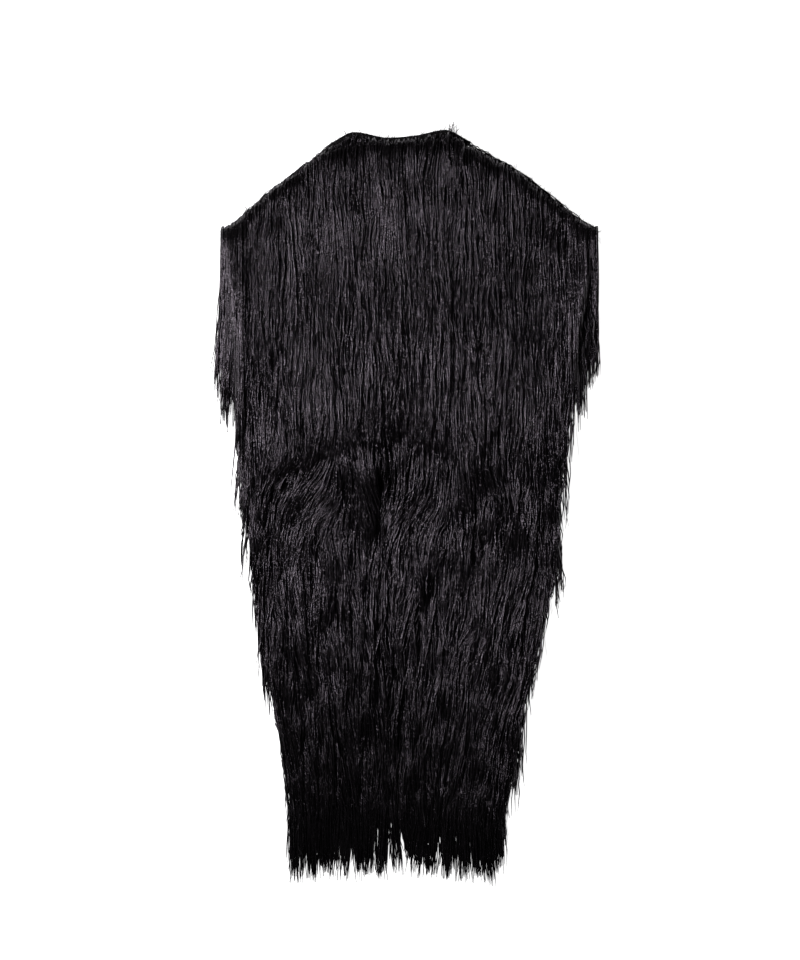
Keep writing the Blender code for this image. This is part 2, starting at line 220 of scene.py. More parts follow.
# One strand of yarn
STRAND_RADIUS = 0.00100
RADIUS_SPREAD = 0.20
TIP_FROM = 0.72
TIP_RADIUS = 0.35
STRAND_LOFT = 0.0056
ROOT_RISE = 0.0022
UNDER_SHARE = 0.45
UNDER_PULL = 0.20
UNDER_COMB = 0.35
UNDER_LOFT = 0.25
SIDE_PULL = 0.20
SIDE_PULL_POWER = 8
HEM_GATHER = 0.55
EDGE_ROOTS = 0.0095
EDGE_BEND_RUN = 0.15
EDGE_BEND_RISE = 1.05
SHOULDER_END = 0.92
SHOULDER_END_RISE = 0.006
CLUMP_WIDTHS = (0.6, 1.5)
CLUMP_SPARE = 4
CLUMP_LOFT = 0.0020
CLUMP_LENGTH_SPREAD = 0.08
HEM_LENGTH_SPREAD = 0.03
CLUMP_LEAN = 0.12
STRAND_LEAN = 0.050
ROOT_RUN = 0.07
TIP_DROOP = 0.0030
DROOP_POWER = 4
WAVE_SWING = 0.0014
WAVE_RUN = 0.4
WAVE_LENGTH = (0.018, 0.045)
TUBE_SIDES = 3
TILE_MARGIN = 0.1
ROUND_SHARE = 0.999

# The sewn heading of each row: two cords along its strip
HEADING_RADIUS = 0.0011
HEADING_STEPS = 40
HEADING_PLACES = (-0.25, 0.25)

# Thin loose hairs that stand out of the fringe
STRAY_COUNT = 25
STRAY_RADIUS = 0.00028
STRAY_STEPS = 4
STRAY_LEAN = 0.45
STRAY_REACH = 0.010
STRAY_ROOT_POWER = 0.6
STRAY_LENGTH_SHARE = (0.5, 1.0)
STRAY_SLANT = 0.35
STRAY_BEND = 1.7
STRAY_LOFT = (0.002, 0.007)
HAIR_TAPER = 0.5

# Wavy yarn that runs along the shoulder edge
SHOULDER_CORDS = 14
SHOULDER_CORD_STEPS = 30
SHOULDER_CORD_RADIUS = 0.0008
SHOULDER_CORD_SPREAD = (-0.006, 0.0015)
SHOULDER_CORD_WAVE = 0.0012
NECK_BRIDGE_RISE = 0.0050
NECK_BRIDGE_RUN = 0.032

# How far the first row covers the neck band, and the short ends of yarn that lie on the band
NECK_BARE = 0.0035
NECK_SIDE = 0.006
NECK_OVERLAP = (0.35, 1.0)
NECK_ENDS = 120
NECK_END_LENGTH = (0.004, 0.020)
NECK_END_RADIUS = 0.0006
NECK_END_ROOTS = (-0.3, 0.5)
NECK_END_LEAN = 0.7
NECK_END_CURL = 0.8
NECK_END_LIFT = 0.0015
NECK_END_ARCH = 0.002

# Short hairs along the shoulder and neck edge, more of them at the shoulder's end, and a loose
# tuft at the wearer's left of the neck
EDGE_HAIRS = 150
EDGE_HAIR_RADIUS = 0.00035
END_HAIRS = 16
END_HAIR_LEAN = 1.1
END_HAIR_UPWARD = (-1.6, 0.4)
EDGE_HAIR_LENGTH = (0.005, 0.012)
EDGE_HAIR_DEPTH = 0.004
EDGE_HAIR_LEAN = (0.3, 0.8)
EDGE_HAIR_CURL = 0.5
EDGE_HAIR_DRIFT = 0.6
EDGE_HAIR_LIFT = 0.003
EDGE_HAIR_RISE = 0.002
TUFT_HAIRS = 24
TUFT_PLACE = 0.074
TUFT_LENGTH = (0.010, 0.019)
TUFT_SPREAD = 0.004
TUFT_LEAN_SHARE = 0.6

SEED = 11

# Places where the yarn is combed aside. lean is the drift across for each metre down, towards
# the wearer's left where it is positive.
COMBS = table(
    "place across y radius lean",
    ("right waist, swept out", -0.131, 0.024, 0.030, -0.85),
    ("right waist, crest", -0.109, 0.047, 0.016, -0.80),
    ("right waist, crossing", -0.080, 0.045, 0.012, 0.45),
    ("right waist, below the hollow", -0.086, 0.000, 0.014, -0.70),
    ("right hip", -0.147, -0.074, 0.050, -0.12),
    ("centre, right", -0.043, 0.007, 0.018, 0.50),
    ("left waist", 0.112, 0.047, 0.030, 0.35),
    ("centre, left", 0.024, -0.010, 0.025, -0.75),
    ("hem, left of the notch", 0.012, -0.455, 0.014, 0.16),
    ("hem, right of the notch", -0.012, -0.455, 0.014, -0.16),
)

# The slow waves in the strands' lean, each running along its heading in radians
LEAN_WAVES = table(
    "length heading lean start",
    (0.071, 0.30, 0.055, 0.9),
    (0.052, 1.05, 0.060, 3.3),
    (0.094, 2.20, 0.050, 5.2),
    (0.038, 2.60, 0.045, 1.7),
)
LEAN_FADE = 0.040
HEM_CALM_FROM = -0.450
HEM_CALM_RUN = 0.100

# Hollows where the yarn parts and the dark cloth shows between the strands. share is the part
# of the strands that stop there.
HOLLOWS = table(
    "across y half_width half_height share",
    (-0.011, 0.060, 0.015, 0.024, 0.78), (-0.024, 0.034, 0.008, 0.012, 0.85),
    (-0.068, 0.021, 0.011, 0.008, 0.95), (-0.104, 0.056, 0.010, 0.006, 0.85),
    (-0.124, 0.046, 0.012, 0.005, 0.85), (-0.146, 0.036, 0.012, 0.006, 0.95),
    (-0.168, 0.021, 0.009, 0.006, 0.95), (0.024, 0.078, 0.016, 0.007, 0.75),
    (0.056, 0.066, 0.016, 0.006, 0.60), (0.112, 0.058, 0.010, 0.012, 0.40),
    (0.139, -0.015, 0.011, 0.014, 0.90), (0.112, -0.056, 0.010, 0.014, 0.90),
    (0.044, -0.109, 0.010, 0.009, 0.90), (0.051, -0.202, 0.007, 0.007, 0.70),
    (0.012, -0.052, 0.009, 0.012, 0.70), (-0.024, -0.030, 0.004, 0.030, 0.70),
    (-0.060, -0.060, 0.004, 0.020, 0.70), (0.220, 0.060, 0.007, 0.024, 0.70),
    (-0.185, -0.090, 0.006, 0.012, 0.70), (-0.108, -0.038, 0.008, 0.018, 0.75),
    (-0.064, -0.030, 0.006, 0.014, 0.75), (0.092, -0.024, 0.008, 0.012, 0.75),
    (0.206, -0.134, 0.007, 0.016, 0.60), (0.066, -0.070, 0.008, 0.012, 0.70),
    (-0.120, -0.100, 0.008, 0.014, 0.70), (-0.060, 0.268, 0.010, 0.016, 0.55),
    (-0.072, 0.234, 0.008, 0.012, 0.50), (0.135, 0.266, 0.012, 0.014, 0.55),
    (0.183, 0.252, 0.012, 0.018, 0.55), (0.060, 0.300, 0.008, 0.014, 0.45),
    (-0.188, 0.182, 0.010, 0.018, 0.55), (-0.150, 0.320, 0.010, 0.014, 0.45),
    (0.110, 0.340, 0.010, 0.014, 0.45),
)
HOLLOW_RAGGED = (0.65, 1.15)
HOLLOW_SAMPLES = 4
HOLLOW_STUB = 0.004

# The slow waves in the depth of the pile, in the same way
PILE_WAVES = table(
    "length heading depth start",
    (0.083, 0.35, 0.0011, 0.4),
    (0.061, 1.20, 0.0010, 2.1),
    (0.047, 2.30, 0.0009, 4.4),
    (0.115, 2.75, 0.0012, 1.3),
)

# The two shades of the dye, the range of the roughness, the scales of the dye's clouds and of the
# fibres, and the strength and depth of the relief
FRINGE_LOOK, KNIT_LOOK_WITH_PAINTED_SHADE, RIB_LOOK = table(
    "dark light smoothest dullest clouds across along strength depth",
    ((0.0015, 0.0013, 0.0015), (0.005, 0.0044, 0.005), 0.20, 0.38, 7.3, 0.5, 80.0, 1.0, 0.0020),
    # The knit's row: its own black, made darker than the rib's as painted shade where the cloth shows in
    # the hollows under the fringe
    ((0.0008, 0.0007, 0.0008), (0.0022, 0.0020, 0.0022), 0.70, 0.85, 45.0, 2400.0, 900.0, 0.8, 0.0006),
    ((0.003, 0.0027, 0.003), (0.008, 0.0072, 0.008), 0.60, 0.78, 45.0, 2400.0, 900.0, 0.8, 0.0006),
)
GLOSS_TINT = (0.98, 0.85, 1.0)
CLOTH_GLOSS = 0.1
KNIT_WALE = 0.0036
COURSE = 0.0028
LOOP_BASE = 1.5
DYE_DETAIL = 3.0
FIBRE_DETAIL = 4.0
FIBRE_ROUGHNESS = 0.65
FIBRE_RANGE = (0.35, 0.65)

# The mix node's two colours and its result, which share their names with other sockets
MIX_FIRST = 6
MIX_SECOND = 7
MIX_RESULT = 2

# The studio: a floor that glows evenly, and one soft light high at the wearer's right
WHITE = (1.0, 1.0, 1.0)
FLOOR_SIZE = 12.0
FLOOR_COLOUR = (0.92, 0.92, 0.92)
FLOOR_ROUGHNESS = 0.9
FLOOR_GLOW = 1.0
KEY_PLACE = Vector((-1.15, 0.34, 1.45))
KEY_TARGET = Vector((-0.03, 0.12, 0.0))
KEY_WIDTH = 0.40
KEY_DEPTH = 1.1
KEY_SPREAD = 60.0
KEY_WATTS = 6.7
WORLD_STRENGTH = 0.03


def smooth_curve(places, values):
    """A smooth function through the values at rising places, which never overshoots them."""
    places = np.array(places, dtype=float)
    values = np.array(values, dtype=float)
    slopes = np.diff(values) / np.diff(places)
    before, after = slopes[:-1], slopes[1:]
    rising = before * after > 0.0
    total = np.where(rising, before + after, 1.0)
    inner = np.where(rising, 2.0 * before * after / total, 0.0)
    tangents = np.concatenate((slopes[:1], inner, slopes[-1:]))

    def value_at(place):
        k = np.clip(np.searchsorted(places, place, side="right") - 1, 0, len(slopes) - 1)
        run = places[k + 1] - places[k]
        t = np.clip((place - places[k]) / run, 0.0, 1.0)
        back = 1.0 - t
        ends = values[k] * back**2 * (1.0 + 2.0 * t) + values[k + 1] * t**2 * (3.0 - 2.0 * t)
        bends = tangents[k] * t * back**2 - tangents[k + 1] * t**2 * back
        return ends + bends * run

    return value_at


def smooth_step(t):
    t = np.clip(t, 0.0, 1.0)
    return t * t * (3.0 - 2.0 * t)


def rise_from(start, t):
    """Nought up to start, and then a smooth rise to one."""
    return smooth_step((t - start) / (1.0 - start))


def bell(away, width):
    return np.exp(-0.5 * (away / width) ** 2)


def slow_wave(wave, across, y):
    along = across * math.cos(wave.heading) + y * math.sin(wave.heading)
    return np.sin(math.tau * along / wave.length + wave.start)


def curve_through(rows, place, value):
    """A smooth function through a table's rows, from one column to another."""
    places = [getattr(row, place) for row in rows]
    values = [getattr(row, value) for row in rows]
    return smooth_curve(places, values)


def shoulder_fall_curve(side):
    """How far the shoulder line drops below the neck point, by the distance from the centre."""
    shoulder = OUTLINE[:SHOULDER_SECTIONS]
    drops = [NECK_HEIGHT - s.height for s in shoulder]
    return smooth_curve([getattr(s, side) for s in shoulder], drops)


HALF_WIDTH = {side: curve_through(OUTLINE[::-1], "height", side) for side in SIDES}
SHOULDER_FALL = {side: shoulder_fall_curve(side) for side in SIDES}
WAIST_AT = curve_through(WAIST_LINE, "across", "y")
WAIST_SPREAD_AT = curve_through(WAIST_LINE, "across", "spread")
NECK_TOP_AT = curve_through(NECK_TOP, "across", "top")
PARTING_AT = curve_through(PARTING, "y", "across")
SWELL_AT = curve_through(SWELL, "y", "lift")


def row_y(height, fall_share, side, x):
    return height - fall_share * SHOULDER_FALL[side](x)


def row_edge(height, fall_share, side):
    """The distance from the centre at which a row meets the edge of the cloth."""
    x = np.full(np.shape(height), max(getattr(section, side) for section in OUTLINE))
    for _ in range(EDGE_SEARCH_STEPS):
        x = HALF_WIDTH[side](row_y(height, fall_share, side, x))
    return x


def opening(y):
    """Half the gap between the fronts at a height."""
    t = (NECK_HEIGHT - y) / (NECK_HEIGHT - HEM_HEIGHT)
    return OPENING_NECK + t * (OPENING_HEM - OPENING_NECK)


def fold_lift(side, x, y):
    """How far the folds raise a front."""
    across = SIDES[side] * x
    lift = np.zeros(np.shape(x))
    for fold in FOLDS:
        run_x = fold.end_x - fold.start_x
        run_y = fold.end_y - fold.start_y
        t = ((across - fold.start_x) * run_x + (y - fold.start_y) * run_y) / (run_x**2 + run_y**2)
        t = np.clip(t, 0.0, 1.0)
        away = np.hypot(across - fold.start_x - t * run_x, y - fold.start_y - t * run_y)
        lift = np.hypot(lift, fold.height * bell(away, fold.width))
    return lift * smooth_step((HALF_WIDTH[side](y) - x) / FOLD_FADE)


def rows_above(side, x, y):
    """How many rows of fringe start above a point, with a part of one between two rows."""
    level = np.zeros(np.shape(x))
    for upper, lower in zip(TIERS, TIERS[1:]):
        upper_y = row_y(upper.height, upper.fall_share, side, x)
        lower_y = row_y(lower.height, lower.fall_share, side, x)
        level += np.clip((upper_y - y) / (upper_y - lower_y), 0.0, 1.0)
    return level


def comb_lean(side, x, y):
    """The drift of the yarn away from the centre line for each metre down."""
    across = SIDES[side] * x
    lean = np.zeros(np.shape(x))
    for comb in COMBS:
        away = np.hypot(across - comb.across, y - comb.y)
        lean += SIDES[side] * comb.lean * bell(away, comb.radius)
    calm = smooth_step((HALF_WIDTH[side](y) - x) / LEAN_FADE)
    calm = calm * smooth_step((y - HEM_CALM_FROM) / HEM_CALM_RUN)
    for wave in LEAN_WAVES:
        lean += calm * wave.lean * slow_wave(wave, across, y)
    return lean


def pile_depth(across, y):
    """How far the pile sinks in its own slow waves."""
    depth = np.zeros(np.shape(across))
    for wave in PILE_WAVES:
        depth += wave.depth * (1.0 + slow_wave(wave, across, y))
    return depth


def clear_share(side, x, y, rng):
    """The share of each strand's length that lies before it reaches a hollow."""
    step = np.arange(HOLLOW_SAMPLES) / HOLLOW_SAMPLES
    fine_x = (x[:, :-1, None] + np.diff(x)[:, :, None] * step).reshape(len(x), -1)
    fine_y = (y[:, :-1, None] + np.diff(y)[:, :, None] * step).reshape(len(y), -1)
    reach = rng.uniform(*HOLLOW_RAGGED, (len(x), 1))
    inside = np.zeros(fine_x.shape, dtype=bool)
    for hollow in HOLLOWS:
        off_x = (SIDES[side] * fine_x - hollow.across) / hollow.half_width
        off_y = (fine_y - hollow.y) / hollow.half_height
        stops = rng.random((len(x), 1)) < hollow.share
        inside |= (np.hypot(off_x, off_y) < reach) & stops
    samples = fine_x.shape[1]
    return np.where(inside.any(axis=1), inside.argmax(axis=1), samples) / samples


def resting_share(side, x, y):
    """One where the yarn rests on the cloth, and nought where it lies on the floor."""
    outside = smooth_step((x - HALF_WIDTH[side](y) - SIDE_CLEAR) / SIDE_FALL)
    past_hem = smooth_step((HEM_HEIGHT - y) / HEM_FALL)
    return (1.0 - outside) * (1.0 - past_hem)


def mesh_from_arrays(name, points, faces, uv_maps=()):
    """A smooth mesh from points and quads; a quad whose last corner is -1 is a triangle."""
    triangle = faces[:, 3] < 0
    counts = np.where(triangle, 3, 4)
    corners = faces.ravel()
    kept = corners >= 0
    corners = corners[kept]
    mesh = bpy.data.meshes.new(name)
    mesh.vertices.add(len(points))
    mesh.vertices.foreach_set("co", points.astype(np.float32).ravel())
    mesh.loops.add(len(corners))
    mesh.loops.foreach_set("vertex_index", corners.astype(np.int32))
    mesh.polygons.add(len(faces))
    starts = np.concatenate(([0], np.cumsum(counts)[:-1]))
    mesh.polygons.foreach_set("loop_start", starts.astype(np.int32))
    mesh.update(calc_edges=True)
    mesh.shade_smooth()
    for map_name, corner_uv in uv_maps:
        layer = mesh.uv_layers.new(name=map_name)
        layer.uv.foreach_set("vector", corner_uv.reshape(-1, 2)[kept].astype(np.float32).ravel())
    return mesh


def unit(vectors):
    return vectors / np.linalg.norm(vectors, axis=-1, keepdims=True)


def tubes(paths, radius, turn):
    """Closed tubes along many paths of equal steps.

    Returns the points, the faces, and for each face's corners the place round the tube, the
    place along it from nought to one, and the tube's number.
    """
    count, rings, _ = paths.shape
    tangent = unit(np.gradient(paths, axis=1))
    sideways = unit(np.cross(tangent, (0.0, 0.0, 1.0)))
    upward = np.cross(sideways, tangent)
    angle = turn[:, None, None] + math.tau * np.arange(TUBE_SIDES) / TUBE_SIDES
    out = np.cos(angle)[..., None] * sideways[:, :, None]
    out = out + np.sin(angle)[..., None] * upward[:, :, None]
    points = paths[:, :, None, :] + radius[:, :, None, None] * out

    tube, ring, edge = np.meshgrid(
        np.arange(count), np.arange(rings - 1), np.arange(TUBE_SIDES), indexing="ij"
    )
    after = (edge + 1) % TUBE_SIDES
    base = (tube * rings + ring) * TUBE_SIDES
    onward = base + TUBE_SIDES
    walls = np.stack((base + edge, onward + edge, onward + after, base + after), -1).reshape(-1, 4)
    round_at = np.stack((edge, edge, edge + 1, edge + 1), -1).reshape(-1, 4) / TUBE_SIDES
    along_at = np.stack((ring, ring + 1, ring + 1, ring), -1).reshape(-1, 4) / (rings - 1)
    tube_at = np.repeat(tube.reshape(-1, 1), 4, axis=1)

    first = np.arange(count) * rings * TUBE_SIDES
    last = first + (rings - 1) * TUBE_SIDES
    none = np.full(count, -1)
    root_caps = np.stack((first, first + 1, first + 2, none), -1)
    tip_caps = np.stack((last + 2, last + 1, last, none), -1)
    cap_round = np.tile(np.array([0.0, 0.5, 1.0, 0.0]), (count, 1))
    cap_tube = np.repeat(np.arange(count)[:, None], 4, axis=1)
    faces = np.concatenate((walls, root_caps, tip_caps))
    round_at = np.concatenate((round_at, cap_round, cap_round))
    along_at = np.concatenate((along_at, np.zeros((count, 4)), np.ones((count, 4))))
    tube_at = np.concatenate((tube_at, cap_tube, cap_tube))
    return points.reshape(-1, 3), faces, round_at, along_at, tube_at


def join_tubes(name, sets):
    """One mesh of several sets of tubes, each with its own tile of the surface map."""
    total = sum(len(paths) for paths, _, _ in sets)
    points, faces, tile_uv, yarn_uv = [], [], [], []
    first_point = 0
    first_tube = 0
    for paths, radius, turn in sets:
        new_points, new_faces, round_at, along_at, tube_at = tubes(paths, radius, turn)
        lengths = np.linalg.norm(np.diff(paths, axis=1), axis=-1).sum(axis=1)
        number = tube_at + first_tube
        points.append(new_points)
        faces.append(np.where(new_faces < 0, -1, new_faces + first_point))
        in_tile = TILE_MARGIN + (1.0 - 2.0 * TILE_MARGIN) * round_at
        tile_uv.append(np.stack(((number + in_tile) / total, along_at), -1))
        yarn_uv.append(np.stack((number + ROUND_SHARE * round_at, along_at * lengths[tube_at]), -1))
        first_point += len(new_points)
        first_tube += len(paths)
    uv_maps = (("OFBake", np.concatenate(tile_uv)), ("yarn", np.concatenate(yarn_uv)))
    return mesh_from_arrays(name, np.concatenate(points), np.concatenate(faces), uv_maps)


def strand_lengths(index, side, root, place, is_sleeve, spread, rng):
    tier = TIERS[index]
    ragged = 1.0 - tier.ragged * rng.random(len(root))
    length = tier.length * (1.0 + spread) * ragged
    length -= SIDE_SHORTEN * tier.fall_share * SHOULDER_FALL[side](root) * ragged
    if index == LAST_TIER:
        across, share = zip(*HEM_SHARES)
        length *= np.interp(SIDES[side] * root, across, share)
    ends = (SLEEVE_INNER_LENGTH[side], SLEEVE_OUTER_LENGTH[side])
    sleeve = np.interp(place, (SLEEVE_SHARE, 1.0), ends)
    sleeve = sleeve * (1.0 + spread) * (1.0 - SLEEVE_RAGGED * rng.random(len(root)) ** 2)
    return np.where(is_sleeve, sleeve, length)


def hang(index, side, root, length, swing, lean, rise, combed):
    """Lets strands hang from their roots, step by step, and returns their x and y.

    swing is the share by which a strand swings out past the armhole, rise is how far above its
    row's line it starts, and combed is the share by which it follows the combs.
    """
    tier = TIERS[index]
    width_at = HALF_WIDTH[side]
    row_line = row_y(tier.height, tier.fall_share, side, root)
    place = root / row_edge(tier.height, tier.fall_share, side)
    drift = np.zeros(len(root))
    x, y = root.copy(), row_line + rise
    all_x, all_y = [x], [y]
    for step in range(tier.steps):
        t = (step + 1) / tier.steps
        slope = lean + combed * comb_lean(side, x, y)
        down = length / tier.steps / np.hypot(1.0, slope)
        drift = drift + slope * down
        y = y - down
        x = root + drift
        if index >= HANG_FROM_TIER:
            x = root * width_at(y) / width_at(row_line) + drift
        x = x + tier.flare * SIDE_FLARE[side] * t * place**FLARE_POWER
        x = x + swing * SLEEVE_LEAN[side] * rise_from(SLEEVE_LEAN_FROM, t)
        all_x.append(x)
        all_y.append(y)
    return np.stack(all_x, 1), np.stack(all_y, 1)


def strand_height(side, x, y, is_sleeve, loft):
    """The height of strands above the floor: on the cloth, and on the rows that they cover."""
    resting = resting_share(side, x, y)
    cloth_top = FRONT_TOP + fold_lift(side, x, y)
    level = rows_above(side, x, y)
    covered = np.maximum(level - level[:, :1], 0.0)
    covered = np.where(is_sleeve[:, None], np.minimum(covered, SLEEVE_LAYERS), covered)
    rows = LAYER * covered + SWELL_AT(y) - pile_depth(SIDES[side] * x, y)
    rows = np.where(is_sleeve[:, None], rows * resting, rows)
    ground = resting * cloth_top + STRAND_RADIUS * (1.0 + RADIUS_SPREAD)
    return np.maximum(ground + ROOT_RISE * resting + rows + loft, ground)


def bend_at_edge(paths, radius):
    """Adds a bend close to each strand's root, where it turns over the shoulder edge."""
    root, onward = paths[:, :1], paths[:, 1:]
    bend = root + (onward[:, :1] - root) * (EDGE_BEND_RUN, EDGE_BEND_RUN, EDGE_BEND_RISE)
    bent = np.concatenate((root, bend, onward), 1)
    return bent, np.concatenate((radius[:, :1], radius), 1)


def strand_roots(index, side, rng):
    """Where strands start: their share of the row's run, their distance from the centre, and the
    start and end of the run."""
    tier = TIERS[index]
    start = opening(tier.height) - (0.0 if index == LAST_TIER else CENTRE_OVERLAP)
    if index in PARTED_ROWS:
        start = SIDES[side] * PARTING_AT(tier.height - tier.length / 2)
    end = row_edge(tier.height - STRIP_WIDTH / 2, tier.fall_share, side) - tier.inset
    place = (np.arange(tier.strands) + rng.random(tier.strands)) / tier.strands
    if index == 0:
        place = np.interp(place, (0.0, 1.0 - SLEEVE_ROOTS, 1.0), (0.0, SLEEVE_SHARE, 1.0))
    if index in PARTED_ROWS:
        place = np.interp(place, *PARTING_THINNING)
    return place, start + (end - start) * place, start, end


def gather_tufts(root, start, end, clump, rng):
    """The number of each strand's tuft, counted from nought without gaps."""
    widths = clump * rng.uniform(*CLUMP_WIDTHS, int(CLUMP_SPARE * (end - start) / clump))
    tuft = np.searchsorted(start + np.cumsum(widths), root)
    return np.unique(tuft, return_inverse=True)[1]


def root_rises(index, side, root, place, rng):
    """How far above its row's line each strand starts."""
    tier = TIERS[index]
    rise = ROW_SPREAD * rng.uniform(-1.0, 1.0, tier.strands)
    if index == 0:
        rise = EDGE_ROOTS * rng.random(tier.strands)
        rise = rise + SHOULDER_END_RISE * rise_from(SHOULDER_END, place)
        over_band = NECK_TOP_AT(SIDES[side] * root) - NECK_BARE - tier.height
        on_band = root < NECK_SPAN[side] - NECK_SIDE
        rise = np.where(on_band, over_band * rng.uniform(*NECK_OVERLAP, tier.strands), rise)
    if index in RAISED_ROWS:
        rise = np.abs(rise) * RAISED_ROWS[index]
    return rise


def fringe_strands(index, side, rng):
    """The paths and radii of one row's strands, gathered into tufts."""
    tier = TIERS[index]
    place, root, start, end = strand_roots(index, side, rng)
    is_sleeve = (place > SLEEVE_SHARE) & (index == 0)
    tuft = gather_tufts(root, start, end, tier.clump, rng)
    members = np.bincount(tuft)
    evenness = HEM_LENGTH_SPREAD if index == LAST_TIER else CLUMP_LENGTH_SPREAD
    spread = rng.normal(0.0, evenness, len(members))[tuft]
    tuft_lean = rng.normal(0.0, CLUMP_LEAN * tier.pull, len(members))
    tuft_loft = CLUMP_LOFT * rng.random(len(members))

    length = strand_lengths(index, side, root, place, is_sleeve, spread, rng)
    tuft_lean = tuft_lean * (1.0 - (1.0 - SLEEVE_STRAIGHT) * np.bincount(tuft, is_sleeve) / members)
    straight = np.where(is_sleeve, SLEEVE_STRAIGHT, 1.0)
    lean = rng.normal(0.0, STRAND_LEAN, tier.strands) * straight + tuft_lean[tuft]
    swing = is_sleeve * rng.uniform(*SLEEVE_SWING, tier.strands)
    rise = root_rises(index, side, root, place, rng)
    if index in RAISED_ROWS:
        length = length + rise
    if index in WAIST_ROWS:
        across = SIDES[side] * root
        room = row_y(tier.height, tier.fall_share, side, root) + rise - WAIST_AT(across)
        room = room + WAIST_SPREAD_AT(across) * rng.normal(0.0, 1.0, tier.strands)
        length = np.minimum(length, np.maximum(room, WAIST_SHORTEST))
    is_under = is_sleeve | (rng.random(tier.strands) < UNDER_SHARE)
    combed = np.where(is_under, UNDER_COMB, 1.0)
    x, y = hang(index, side, root, length, swing, lean, rise, combed)
    length = np.maximum(length * clear_share(side, x, y, rng), HOLLOW_STUB)
    x, y = hang(index, side, root, length, swing, lean, rise, combed)
    mean_root, mean_length, mean_swing = (np.bincount(tuft, v) / members for v in (root, length, swing))
    tuft_x, _ = hang(index, side, mean_root, mean_length, mean_swing, tuft_lean, 0.0, 1.0)

    t = np.linspace(0.0, 1.0, tier.steps + 1)
    pull = tier.pull + (SIDE_PULL - tier.pull) * place**SIDE_PULL_POWER
    pull = np.where(is_under, UNDER_PULL, pull)
    gather = pull[:, None] * rise_from(HEM_GATHER if index == LAST_TIER else 0.0, t)
    x = x + (tuft_x[tuft] - x) * gather
    wave = rng.uniform(*WAVE_LENGTH, (tier.strands, 1))
    phase = rng.uniform(0.0, math.tau, (tier.strands, 1))
    x = x + WAVE_SWING * smooth_step(t / WAVE_RUN) * np.sin(math.tau * y / wave + phase)

    loft = STRAND_LOFT * rng.random((tier.strands, 1)) + tuft_loft[tuft][:, None]
    loft = np.where(is_under & ~is_sleeve, UNDER_LOFT, 1.0)[:, None] * loft
    droop = 0.0 if index in WAIST_ROWS else TIP_DROOP
    loft = loft * smooth_step(t / ROOT_RUN) - droop * t**DROOP_POWER
    if index == 0:
        loft = loft + is_sleeve[:, None] * SLEEVE_RUFFLE * rng.random(loft.shape)
    z = strand_height(side, x, y, is_sleeve, loft)
    taper = 1.0 - (1.0 - TIP_RADIUS) * rise_from(TIP_FROM, t)
    radius = STRAND_RADIUS * rng.uniform(1.0 - RADIUS_SPREAD, 1.0 + RADIUS_SPREAD, (tier.strands, 1))
    turn = rng.uniform(0.0, math.tau, tier.strands)
    paths, radius = np.stack((SIDES[side] * x, y, z), -1), radius * taper
    if index == 0:
        paths, radius = bend_at_edge(paths, radius)
    return paths, radius, turn


def thin_tubes(side, x, y, z, radius, taper=0.0):
    """The paths, radii and turns of thin yarn, which loses the share taper of its radius."""
    t = np.linspace(0.0, 1.0, x.shape[1])
    radii = radius * (1.0 - taper * t) * np.ones((len(x), 1))
    return np.stack((SIDES[side] * x, y, z), -1), radii, np.zeros(len(x))


def heading_cords(index, side):
    """Two cords along the strip that the strands hang from."""
    tier = TIERS[index]
    height = tier.height + STRIP_WIDTH * np.array(HEADING_PLACES)
    end = row_edge(height, tier.fall_share, side) - tier.inset
    x = np.linspace(opening(height), end, HEADING_STEPS + 1, axis=1)
    y = row_y(height[:, None], tier.fall_share, side, x)
    z = FRONT_TOP + STRIP_LIFT + HEADING_RADIUS + fold_lift(side, x, y)
    return thin_tubes(side, x, y, z, HEADING_RADIUS)


def stray_hairs(index, side, rng):
    """Thin loose hairs that leave their row at a slant."""
    tier = TIERS[index]
    start = opening(tier.height)
    end = row_edge(tier.height, tier.fall_share, side) - tier.inset
    root = start + (end - start) * rng.random(STRAY_COUNT) ** STRAY_ROOT_POWER
    lean = rng.normal(0.0, STRAY_LEAN, STRAY_COUNT)
    length = tier.length * rng.uniform(*STRAY_LENGTH_SHARE, STRAY_COUNT)
    t = np.linspace(0.0, 1.0, STRAY_STEPS + 1)
    reach = np.clip(lean * length * STRAY_SLANT, -STRAY_REACH, STRAY_REACH)
    x = root[:, None] + reach[:, None] * t**STRAY_BEND
    y = row_y(tier.height, tier.fall_share, side, root)[:, None] - length[:, None] * t
    loft = smooth_step(t / ROOT_RUN) * rng.uniform(*STRAY_LOFT, (STRAY_COUNT, 1))
    not_sleeve = np.zeros(STRAY_COUNT, dtype=bool)
    z = strand_height(side, x, y, not_sleeve, loft)
    return thin_tubes(side, x, y, z, STRAY_RADIUS, HAIR_TAPER)


def neck_yarn(side, rng):
    """Short ends of yarn that lie over the neck band in all directions."""
    x = NECK_SPAN[side] * rng.random(NECK_ENDS)
    top = NECK_TOP_AT(SIDES[side] * x)
    y = NECK_SEAM + (top - NECK_SEAM) * rng.uniform(*NECK_END_ROOTS, NECK_ENDS)
    lean = rng.normal(0.0, NECK_END_LEAN, NECK_ENDS)
    curl = rng.normal(0.0, NECK_END_CURL, NECK_ENDS)
    length = rng.uniform(*NECK_END_LENGTH, NECK_ENDS)
    t = np.linspace(0.0, 1.0, STRAY_STEPS + 1)
    down = length[:, None] * t
    z = FRONT_TOP + rng.uniform(0.0, NECK_END_LIFT, (NECK_ENDS, 1)) + NECK_END_ARCH * np.sin(math.pi * t)
    x = x[:, None] + down * (lean[:, None] + curl[:, None] * t)
    return thin_tubes(side, x, y[:, None] - down, z, NECK_END_RADIUS, HAIR_TAPER)


